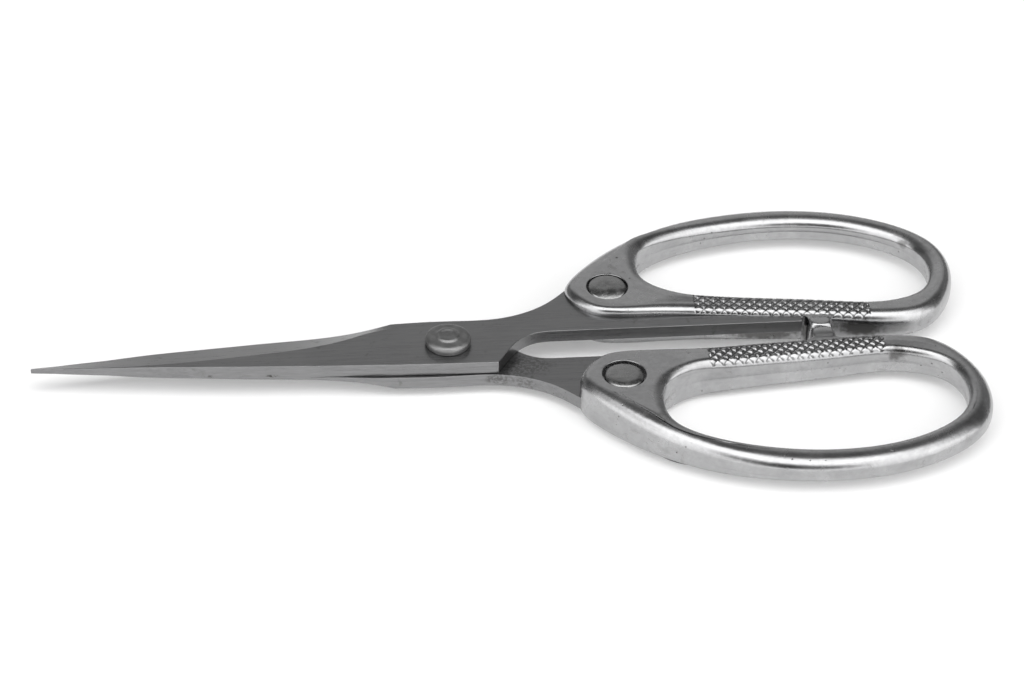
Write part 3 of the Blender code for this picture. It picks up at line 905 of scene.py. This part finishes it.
# Brightness of the studio by the angle about the X axis, in degrees: 0 at the horizon behind the scissors,
# 90 overhead and 180 at the horizon on the camera's side.
STUDIO = [
    (0, 0.54), (18, 0.54), (30, 0.6), (37, 0.65), (42, 0.46), (47, 0.2), (54, 0.1), (68, 0.1), (75, 0.25),
    (83, 1.6), (90, 2.1), (110, 2.2), (125, 2.2), (140, 2.0), (160, 1.7), (180, 1.4),
]
# How it falls off sideways, by the sine of the angle out of the YZ plane: behind the scissors, overhead, and
# on the camera's side.
SIDES_BEHIND = (0.2, 0.44, 0.4)
SIDES_ABOVE = (0.4, 0.8, 0.33)
SIDES_IN_FRONT = (0.6, 1.0, 0.9)
BEHIND_TO_ABOVE = (50, 75)
ABOVE_TO_FRONT = (90, 110)
# The dark camera and its stand: what is left of the light there, and the angles over which it fades out.
CAMERA_SHADE = 0.02
CAMERA_SHADE_ANGLES = (14.0, 26.0)


def camera_back():
    """From the scissors towards the camera."""
    a, e = CAMERA_AZIMUTH, CAMERA_ELEVATION
    return Vector((math.sin(a) * math.cos(e), -math.cos(a) * math.cos(e), math.sin(e)))


def add_world():
    """The studio: its curve over the angle about the X axis, the fall-off sideways, and the dark patch."""
    world = bpy.data.worlds.new("studio")
    bpy.context.scene.world = world
    world.use_nodes = True
    tree = world.node_tree
    background = tree.nodes["Background"]
    background.inputs["Color"].default_value = (1.0, 1.0, 1.0, 1.0)
    direction = tree.nodes.new("ShaderNodeTexCoord").outputs["Generated"]
    split = tree.nodes.new("ShaderNodeSeparateXYZ")
    tree.links.new(direction, split.inputs[0])

    def math_node(operation, a, b=None):
        node = tree.nodes.new("ShaderNodeMath")
        node.operation = operation
        for socket, value in zip(node.inputs, (a, b)):
            if isinstance(value, bpy.types.NodeSocket):
                tree.links.new(value, socket)
            elif value is not None:
                socket.default_value = value
        return node.outputs[0]

    def ramp(value, low, high, to_low, to_high):
        node = tree.nodes.new("ShaderNodeMapRange")
        node.interpolation_type = "SMOOTHSTEP"
        tree.links.new(value, node.inputs["Value"])
        for key, number in (("From Min", low), ("From Max", high), ("To Min", to_low), ("To Max", to_high)):
            node.inputs[key].default_value = number
        return node.outputs["Result"]

    share = math_node("DIVIDE", math_node("ARCTAN2", split.outputs["Z"], split.outputs["Y"]), math.pi)
    curve = tree.nodes.new("ShaderNodeFloatCurve")
    brightest = max(value for _, value in STUDIO)
    points = curve.mapping.curves[0].points
    points[0].location = (0.0, STUDIO[0][1] / brightest)
    points[1].location = (1.0, STUDIO[-1][1] / brightest)
    for degrees, value in STUDIO[1:-1]:
        points.new(degrees / 180, value / brightest)
    for point in points:
        point.handle_type = "AUTO_CLAMPED"
    curve.mapping.update()
    tree.links.new(share, curve.inputs["Value"])
    sideways = math_node("ABSOLUTE", split.outputs["X"])
    sides = ramp(sideways, SIDES_BEHIND[0], SIDES_BEHIND[1], 1.0, SIDES_BEHIND[2])
    zones = ((SIDES_ABOVE, BEHIND_TO_ABOVE), (SIDES_IN_FRONT, ABOVE_TO_FRONT))
    for (near, far, left), (start, end) in zones:
        change = math_node("SUBTRACT", ramp(sideways, near, far, 1.0, left), sides)
        here = ramp(share, start / 180, end / 180, 0.0, 1.0)
        sides = math_node("ADD", sides, math_node("MULTIPLY", here, change))
    facing = tree.nodes.new("ShaderNodeVectorMath")
    facing.operation = "DOT_PRODUCT"
    tree.links.new(direction, facing.inputs[0])
    facing.inputs[1].default_value = camera_back()
    near, far = (math.cos(math.radians(a)) for a in CAMERA_SHADE_ANGLES)
    shade = ramp(facing.outputs["Value"], far, near, brightest, brightest * CAMERA_SHADE)
    strength = math_node("MULTIPLY", math_node("MULTIPLY", curve.outputs[0], shade), sides)
    tree.links.new(strength, background.inputs["Strength"])


def add_light():
    """A weak overhead softbox, for the soft shadow under the scissors."""
    data = bpy.data.lights.new("softbox", "AREA")
    data.shape = "RECTANGLE"
    data.size, data.size_y = 0.9, 0.6
    data.energy = 1.0
    lamp = bpy.data.objects.new("softbox", data)
    bpy.context.scene.collection.objects.link(lamp)
    lamp.location = (0.0, -0.15, 0.9)
    lamp.rotation_euler = (math.radians(-10), 0.0, 0.0)


def add_camera():
    data = bpy.data.cameras.new("camera")
    data.sensor_fit = "HORIZONTAL"
    data.sensor_width = SENSOR_MM
    data.lens = SENSOR_MM * FOCAL_RATIO
    data.clip_start, data.clip_end = 0.05, 10.0
    camera = bpy.data.objects.new("camera", data)
    bpy.context.scene.collection.objects.link(camera)
    back = camera_back()
    right = (-back).cross(Vector((0, 0, 1))).normalized()
    up = right.cross(-back)
    c, s = math.cos(CAMERA_ROLL), math.sin(CAMERA_ROLL)
    axes = Matrix((right * c + up * s, up * c - right * s, back)).transposed()
    place = PIVOT + Vector(CAMERA_TARGET) * MM + back * CAMERA_DISTANCE * MM
    camera.matrix_world = Matrix.Translation(place) @ axes.to_4x4()
    bpy.context.scene.camera = camera


def build():
    add_camera()
    build_half("upper_half", ("upper_blade", "rear_handle", "rear_handle_rivet"), 1.0)
    build_half("lower_half", ("lower_blade", "front_handle", "front_handle_rivet"), 2.0)
    steel = rivet_steel("pivot_steel", 3.0, 0.2, 0.26, (0.42, 0.5))
    pivot = piece("pivot_rivet_peened", pivot_mesh(), "lower_half", "pivot_rivet", steel)
    pivot.matrix_world = HALVES["upper_half"]
    add_floor()
    add_world()
    add_light()
    bpy.context.scene.view_settings.view_transform = "Standard"


build()
